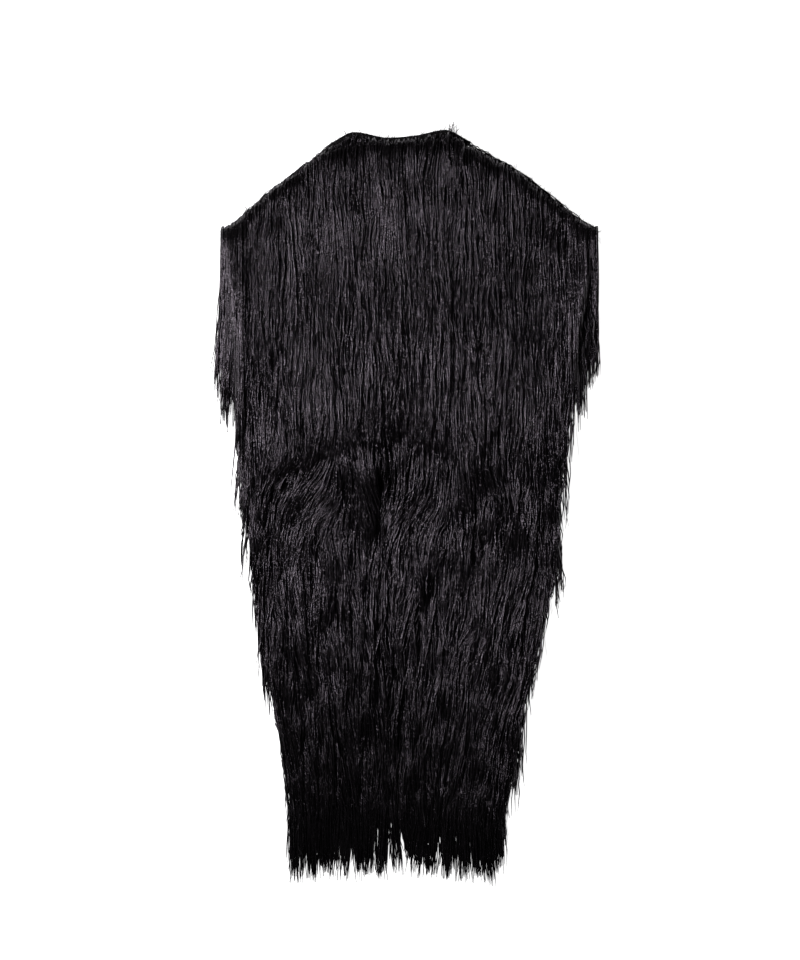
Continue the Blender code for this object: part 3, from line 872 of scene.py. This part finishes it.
def shoulder_cords(side, rng):
    """Wavy yarn along the shoulder edge, which binds the ends of the strands."""
    end = row_edge(NECK_HEIGHT, 1.0, side)
    x = np.linspace(getattr(OUTLINE[0], side), end, SHOULDER_CORD_STEPS + 1)
    x = np.tile(x, (SHOULDER_CORDS, 1))
    off = rng.uniform(*SHOULDER_CORD_SPREAD, (SHOULDER_CORDS, 1))
    off = off + SHOULDER_CORD_WAVE * rng.normal(0.0, 1.0, x.shape)
    bridge = smooth_step(1.0 - (x - x[:, :1]) / NECK_BRIDGE_RUN)
    bridge = NECK_BRIDGE_RISE * bridge * rng.random((SHOULDER_CORDS, 1))
    y = row_y(NECK_HEIGHT, 1.0, side, x) + off + bridge
    z = FRONT_UNDER + rng.uniform(0.0, FRONT_TOP - FRONT_UNDER, (SHOULDER_CORDS, 1))
    z = z + 0.5 * SHOULDER_CORD_WAVE * rng.random(x.shape)
    return thin_tubes(side, x, y, z, SHOULDER_CORD_RADIUS)


def edge_hairs(side, rng):
    """Short hairs that stand out of the shoulder and neck edge, and the loose tuft."""
    count = EDGE_HAIRS + (TUFT_HAIRS if side == "left" else 0)
    number = np.arange(count)
    is_tuft = number >= EDGE_HAIRS
    is_end = number < END_HAIRS
    end = row_edge(NECK_HEIGHT, 1.0, side)
    x = np.where(is_tuft, TUFT_PLACE + rng.normal(0.0, TUFT_SPREAD, count), end * rng.random(count))
    x = np.where(is_end, end, x)
    edge = row_y(NECK_HEIGHT, 1.0, side, x)
    across = SIDES[side] * x
    on_band = (across > NECK_TOP[0].across) & (across < NECK_TOP[-1].across)
    edge = np.where(on_band, NECK_TOP_AT(across), edge) - EDGE_HAIR_DEPTH
    tuft_length = rng.uniform(*TUFT_LENGTH, count)
    length = np.where(is_tuft, tuft_length, rng.uniform(*EDGE_HAIR_LENGTH, count))
    lean = rng.normal(*EDGE_HAIR_LEAN, count) * np.where(is_tuft, TUFT_LEAN_SHARE, 1.0)
    lean = np.where(is_end, END_HAIR_LEAN, lean)
    upward = np.where(is_end, rng.uniform(*END_HAIR_UPWARD, count), 1.0)
    curl = rng.normal(0.0, EDGE_HAIR_CURL, count)
    t = np.linspace(0.0, 1.0, STRAY_STEPS + 1)
    out = length[:, None] * t
    x = x[:, None] + out * (lean[:, None] + curl[:, None] * t) * EDGE_HAIR_DRIFT
    y = edge[:, None] + out * upward[:, None]
    z = FRONT_UNDER + rng.uniform(0.0, EDGE_HAIR_LIFT, (count, 1)) + EDGE_HAIR_RISE * t
    return thin_tubes(side, x, y, z, EDGE_HAIR_RADIUS, HAIR_TAPER)


def add_piece(name, mesh, material, node):
    mesh.materials.append(material)
    piece = bpy.data.objects.new(name, mesh)
    bpy.context.scene.collection.objects.link(piece)
    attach(piece, BODY)
    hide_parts(node)
    return piece


def fringe_piece(index, side, material):
    rng = np.random.default_rng(SEED + 2 * index + (side == "left"))
    node = f"fringe_{index + 1:02d}_{side}"
    sets = [
        fringe_strands(index, side, rng),
        heading_cords(index, side),
        stray_hairs(index, side, rng),
    ]
    if index == 0:
        sets.append(neck_yarn(side, rng))
        sets.append(edge_hairs(side, rng))
        sets.append(shoulder_cords(side, rng))
    return add_piece(f"{node}_yarn", join_tubes(node, sets), material, node)


def edged_places(start, end, step):
    """Places from start to end with close ones at both ends, and the cloth's fullness there."""
    run = abs(end - start)
    near, fullness = zip(*EDGE_ROUNDING)
    middle = np.linspace(near[-1], run - near[-1], max(int(run / step), 2) + 1)[1:-1]
    places = np.concatenate((near, middle, run - np.array(near[::-1])))
    full = np.concatenate((fullness, np.ones(len(middle)), fullness[::-1]))
    return start + np.sign(end - start) * places, full


def panel_rows():
    """The heights of a panel's rows, how far each follows the shoulder, and their fullness."""
    heights, full = edged_places(NECK_HEIGHT, HEM_HEIGHT, PANEL_STEP)
    rising = TIERS[::-1]
    shares = np.interp(heights, [t.height for t in rising], [t.fall_share for t in rising])
    return heights, shares, full


def cloth_shell(name, across, y, middle, full):
    """A closed wall of cloth about a grid of points, thinner along its edges."""
    rows, columns = across.shape
    half = full * CLOTH / 2
    top = np.stack((across, y, middle + half), -1).reshape(-1, 3)
    under = np.stack((across, y, middle - half), -1).reshape(-1, 3)
    number = np.arange(rows * columns).reshape(rows, columns)
    quads = np.stack((number[:-1, :-1], number[1:, :-1], number[1:, 1:], number[:-1, 1:]), -1)
    quads = quads.reshape(-1, 4)
    rim = np.concatenate((number[0, :-1], number[:-1, -1], number[-1, :0:-1], number[:0:-1, 0]))
    after = np.roll(rim, -1)
    below = rows * columns
    walls = np.stack((rim, after, after + below, rim + below), -1)
    faces = np.concatenate((quads, quads[:, ::-1] + below, walls))
    return mesh_from_arrays(name, np.concatenate((top, under)), faces)


def add_panel(node, across, y, middle, full, material, rests_on, with_pieces=()):
    """A knit panel: a closed wall of cloth about a grid of points."""
    mesh = cloth_shell(node, across, y, middle, full)
    piece = add_piece(f"{node}_cloth", mesh, material, node)


def front_panel(side, material, fringes):
    heights, shares, row_full = panel_rows()
    inner = opening(heights)
    outer = row_edge(heights, shares, side)
    reach, column_full = edged_places(0.0, float(outer.mean()), PANEL_STEP)
    share = reach / reach[-1]
    x = inner[:, None] + (outer - inner)[:, None] * share
    y = row_y(heights[:, None], shares[:, None], side, x)
    middle = FRONT_UNDER + CLOTH / 2 + fold_lift(side, x, y)
    full = np.minimum(row_full[:, None], column_full)
    rising = [grid[:, ::SIDES[side]] for grid in (SIDES[side] * x, y, middle, full)]
    add_panel(f"front_{side}", *rising, material, ["back"], fringes)


def back_panel(material):
    heights, shares, row_full = panel_rows()
    edges = {side: row_edge(heights, shares, side) for side in SIDES}
    run = float(edges["left"].mean() + edges["right"].mean())
    reach, column_full = edged_places(0.0, run, PANEL_STEP)
    share = reach / run
    across = -edges["right"][:, None] + (edges["left"] + edges["right"])[:, None] * share
    fall = np.where(across > 0.0, SHOULDER_FALL["left"](across), SHOULDER_FALL["right"](-across))
    y = heights[:, None] - shares[:, None] * fall
    full = np.minimum(row_full[:, None], column_full)
    add_panel("back", across, y, np.full(across.shape, CLOTH / 2), full, material, ["floor"])


def band_path():
    """The middle of the band's wall: across, z, and the direction in which the wall faces."""
    right_end, left_end = NECK_TOP[0].across, NECK_TOP[-1].across
    front_z = (FRONT_UNDER + FRONT_TOP) / 2
    back_z = CLOTH / 2
    turn_z = (front_z + back_z) / 2
    turn_radius = (front_z - back_z) / 2

    def run(start, end, z, facing):
        steps = int(abs(end - start) / BAND_STEP)
        across = np.linspace(start, end, steps + 1)
        even = np.ones(steps + 1)
        return np.stack((across, z * even, 0.0 * even, facing * even), -1)

    def turn(across, start):
        angle = start - math.pi * np.arange(1, BAND_TURN_STEPS) / BAND_TURN_STEPS
        facing_x, facing_z = np.cos(angle), np.sin(angle)
        return np.stack(
            (across + turn_radius * facing_x, turn_z + turn_radius * facing_z, facing_x, facing_z), -1
        )

    return np.concatenate((
        run(OPENING_NECK, left_end, front_z, 1.0),
        turn(left_end, math.pi / 2),
        run(left_end, right_end, back_z, -1.0),
        turn(right_end, -math.pi / 2),
        run(right_end, -OPENING_NECK, front_z, 1.0),
    ))


def neck_band(material):
    """The band at the neck, with raised ribs on its outer side."""
    across, z, facing_x, facing_z = band_path().T
    steps = np.hypot(np.diff(across), np.diff(z))
    along = np.concatenate(([0.0], np.cumsum(steps)))
    ribs = RIB_RELIEF * (0.5 + 0.5 * np.cos(math.tau * along / RIB_PITCH)) - RIB_RELIEF
    up = np.array(BAND_HEIGHTS + BAND_HEIGHTS[::-1])
    full = np.array(BAND_FULLNESS + BAND_FULLNESS[::-1])
    is_outer = np.arange(len(up)) < len(BAND_HEIGHTS)
    outward = np.where(is_outer, full * CLOTH / 2 + full * ribs[:, None], -full * CLOTH / 2)
    top = NECK_TOP_AT(across)
    y = NECK_SEAM + (top - NECK_SEAM)[:, None] * up
    points = np.stack((
        across[:, None] + facing_x[:, None] * outward, y, z[:, None] + facing_z[:, None] * outward
    ), -1)
    rings, sides, _ = points.shape
    ring, edge = np.meshgrid(np.arange(rings - 1), np.arange(sides), indexing="ij")
    after = (edge + 1) % sides
    base = ring * sides
    walls = np.stack((base + edge, base + sides + edge, base + sides + after, base + after), -1)
    half = sides // 2
    near = np.arange(half - 1)
    start_cap = np.stack((near, near + 1, sides - 2 - near, sides - 1 - near), -1)
    end_cap = start_cap[:, ::-1] + (rings - 1) * sides
    faces = np.concatenate((walls.reshape(-1, 4), start_cap, end_cap))
    mesh = mesh_from_arrays("neck_band", points.reshape(-1, 3), faces)
    piece = add_piece("neck_band_rib", mesh, material, "neck_band")


def new_group(name, inputs, outputs):
    """A shader node group with named sockets; returns the group and its two end nodes."""
    group = bpy.data.node_groups.new(name, "ShaderNodeTree")
    for direction, sockets in (("INPUT", inputs), ("OUTPUT", outputs)):
        for socket, kind in sockets.items():
            group.interface.new_socket(socket, in_out=direction, socket_type=f"NodeSocket{kind}")
    return group, group.nodes.new("NodeGroupInput"), group.nodes.new("NodeGroupOutput")


def add_node(tree, kind, links=(), **settings):
    """A node with its settings, and its inputs set or linked by name or number."""
    node = tree.nodes.new(kind)
    for key, value in settings.items():
        setattr(node, key, value)
    for socket, source in dict(links).items():
        if isinstance(source, bpy.types.NodeSocket):
            tree.links.new(source, node.inputs[socket])
        else:
            node.inputs[socket].default_value = source
    return node


def math_node(tree, operation, first, second=0.0):
    return add_node(tree, "ShaderNodeMath", {0: first, 1: second}, operation=operation).outputs[0]


def dye_group():
    """Cloudy variation between two shades of one dye."""
    group, given, result = new_group(
        "dye_variation",
        {"Vector": "Vector", "Scale": "Float", "Dark": "Color", "Light": "Color"},
        {"Color": "Color"},
    )
    noise = add_node(group, "ShaderNodeTexNoise", {
        "Vector": given.outputs["Vector"], "Scale": given.outputs["Scale"], "Detail": DYE_DETAIL,
    })
    mix = add_node(group, "ShaderNodeMix", {
        "Factor": noise.outputs["Fac"],
        MIX_FIRST: given.outputs["Dark"],
        MIX_SECOND: given.outputs["Light"],
    }, data_type="RGBA")
    group.links.new(mix.outputs[MIX_RESULT], result.inputs["Color"])
    return group


def fibre_group():
    """Uneven fibres along the yarn: a relief, and a gloss that breaks up with it."""
    group, given, result = new_group(
        "yarn_fibres",
        {
            "Vector": "Vector", "Across": "Float", "Along": "Float",
            "Smoothest": "Float", "Dullest": "Float",
        },
        {"Height": "Float", "Roughness": "Float"},
    )
    stretch = add_node(group, "ShaderNodeCombineXYZ", {
        "X": given.outputs["Across"], "Y": given.outputs["Along"], "Z": given.outputs["Across"],
    })
    scaled = add_node(group, "ShaderNodeVectorMath", {
        0: given.outputs["Vector"], 1: stretch.outputs["Vector"],
    }, operation="MULTIPLY")
    noise = add_node(group, "ShaderNodeTexNoise", {
        "Vector": scaled.outputs["Vector"], "Scale": 1.0,
        "Detail": FIBRE_DETAIL, "Roughness": FIBRE_ROUGHNESS,
    })
    ramp = add_node(group, "ShaderNodeMapRange", {
        "Value": noise.outputs["Fac"], "From Min": FIBRE_RANGE[0], "From Max": FIBRE_RANGE[1],
        "To Min": given.outputs["Smoothest"], "To Max": given.outputs["Dullest"],
    })
    group.links.new(noise.outputs["Fac"], result.inputs["Height"])
    group.links.new(ramp.outputs["Result"], result.inputs["Roughness"])
    return group


def stitch_group():
    """Columns of plain knit stitches, each a pair of slanting loops."""
    group, given, result = new_group(
        "knit_stitches",
        {"Vector": "Vector", "Wale": "Float", "Course": "Float"},
        {"Height": "Float"},
    )
    place = add_node(group, "ShaderNodeSeparateXYZ", {0: given.outputs["Vector"]})
    column = math_node(group, "DIVIDE", place.outputs["X"], given.outputs["Wale"])
    in_column = math_node(group, "FRACT", column)
    slant = math_node(group, "ABSOLUTE", math_node(group, "SUBTRACT", in_column, 0.5))
    row = math_node(group, "DIVIDE", place.outputs["Y"], given.outputs["Course"])
    phase = math_node(group, "MULTIPLY", math_node(group, "ADD", row, slant), math.tau)
    loop = math_node(group, "SINE", phase)
    bulge = math_node(group, "SINE", math_node(group, "MULTIPLY", slant, math.tau))
    height = math_node(group, "MULTIPLY", math_node(group, "ADD", loop, LOOP_BASE), bulge)
    group.links.new(height, result.inputs["Height"])
    return group


def place_group(tree, group, values):
    return add_node(tree, "ShaderNodeGroup", values, node_tree=group)


def new_material(name):
    material = bpy.data.materials.new(name)
    material.use_nodes = True
    tree = material.node_tree
    return material, tree, tree.nodes["Principled BSDF"]


def colour(rgb):
    return (*rgb, 1.0)


def dyed_fibres(tree, shader, look, dye, fibres, tone_at, fibre_at, dullest):
    """Gives a surface its dye and the gloss of its fibres, and returns the fibres' relief."""
    tone = place_group(tree, dye, {
        "Vector": tone_at, "Scale": look.clouds, "Dark": colour(look.dark), "Light": colour(look.light),
    })
    grain = place_group(tree, fibres, {
        "Vector": fibre_at, "Across": look.across, "Along": look.along,
        "Smoothest": look.smoothest, "Dullest": dullest,
    })
    tree.links.new(tone.outputs["Color"], shader.inputs["Base Color"])
    tree.links.new(grain.outputs["Roughness"], shader.inputs["Roughness"])
    return grain.outputs["Height"]


def add_relief(tree, shader, look, height):
    bump = add_node(tree, "ShaderNodeBump", {
        "Strength": look.strength, "Distance": look.depth, "Height": height,
    })
    tree.links.new(bump.outputs["Normal"], shader.inputs["Normal"])


def fringe_yarn(dye, fibres):
    """Glossy twisted yarn. The map called yarn gives each strand's number and the way along it."""
    material, tree, shader = new_material("black_fringe_yarn")
    look = FRINGE_LOOK
    along = add_node(tree, "ShaderNodeUVMap", uv_map="yarn").outputs["UV"]
    strand = add_node(tree, "ShaderNodeVectorMath", {0: along}, operation="FLOOR").outputs["Vector"]
    chance = add_node(tree, "ShaderNodeTexWhiteNoise", {"Vector": strand}).outputs["Value"]
    dullest = add_node(tree, "ShaderNodeMapRange", {
        "Value": chance, "To Min": look.smoothest, "To Max": look.dullest,
    }).outputs["Result"]
    add_relief(tree, shader, look, dyed_fibres(tree, shader, look, dye, fibres, strand, along, dullest))
    shader.inputs["Specular Tint"].default_value = colour(GLOSS_TINT)
    return material


def knitted_cloth(name, look, wale, dye, fibres, stitches):
    """Matt knit with small stitches."""
    material, tree, shader = new_material(name)
    place = add_node(tree, "ShaderNodeTexCoord").outputs["Object"]
    grain = dyed_fibres(tree, shader, look, dye, fibres, place, place, look.dullest)
    loops = place_group(tree, stitches, {"Vector": place, "Wale": wale, "Course": COURSE})
    add_relief(tree, shader, look, math_node(tree, "ADD", loops.outputs["Height"], grain))
    shader.inputs["Specular IOR Level"].default_value = CLOTH_GLOSS
    return material


def dress_vest():
    dye, fibres, stitches = dye_group(), fibre_group(), stitch_group()
    yarn = fringe_yarn(dye, fibres)
    # The knit is darker than the rib: painted shade for the cloth that shows in the hollows under the
    # fringe, on top of its own black
    knit = knitted_cloth("black_knit_painted_shade", KNIT_LOOK_WITH_PAINTED_SHADE, KNIT_WALE, dye, fibres, stitches)
    rib = knitted_cloth("black_rib", RIB_LOOK, RIB_PITCH, dye, fibres, stitches)
    back_panel(knit)
    neck_band(rib)
    for side in SIDES:
        fringes = [fringe_piece(index, side, yarn) for index in range(len(TIERS))]
        front_panel(side, knit, fringes)


def studio_floor():
    """A pale base that glows evenly, as a light table does."""
    material, _, shader = new_material("pale_floor")
    shader.inputs["Base Color"].default_value = colour(FLOOR_COLOUR)
    shader.inputs["Roughness"].default_value = FLOOR_ROUGHNESS
    shader.inputs["Specular IOR Level"].default_value = 0.0
    shader.inputs["Emission Color"].default_value = colour(WHITE)
    shader.inputs["Emission Strength"].default_value = FLOOR_GLOW
    half = FLOOR_SIZE / 2
    corners = [(-half, -half, 0.0), (half, -half, 0.0), (half, half, 0.0), (-half, half, 0.0)]
    mesh = bpy.data.meshes.new("floor")
    mesh.from_pydata(corners, [], [(0, 1, 2, 3)])
    mesh.materials.append(material)
    floor = bpy.data.objects.new("floor", mesh)
    bpy.context.scene.collection.objects.link(floor)


def studio_light():
    """The soft light, and a faint even light from all round."""
    data = bpy.data.lights.new("overhead_key", "AREA")
    data.shape = "RECTANGLE"
    data.size = KEY_WIDTH
    data.size_y = KEY_DEPTH
    data.spread = math.radians(KEY_SPREAD)
    data.energy = KEY_WATTS
    lamp = bpy.data.objects.new("overhead_key", data)
    lamp.location = KEY_PLACE
    lamp.rotation_euler = (KEY_TARGET - KEY_PLACE).to_track_quat("-Z", "Y").to_euler()
    bpy.context.scene.collection.objects.link(lamp)
    world = bpy.data.worlds.new("studio")
    world.use_nodes = True
    background = world.node_tree.nodes["Background"]
    background.inputs["Color"].default_value = colour(WHITE)
    background.inputs["Strength"].default_value = WORLD_STRENGTH
    bpy.context.scene.world = world


def overhead_camera():
    data = bpy.data.cameras.new("overhead")
    data.sensor_fit = "VERTICAL"
    data.sensor_height = SENSOR_HEIGHT
    data.lens = SENSOR_HEIGHT * CAMERA_HEIGHT / (IMAGE_HEIGHT * METRES_PER_PIXEL)
    camera = bpy.data.objects.new("overhead", data)
    camera.location = VIEW_CENTRE + Vector((0.0, 0.0, CAMERA_HEIGHT))
    bpy.context.scene.collection.objects.link(camera)
    bpy.context.scene.camera = camera
    bpy.context.scene.view_settings.view_transform = "Standard"


overhead_camera()
studio_light()
studio_floor()
dress_vest()
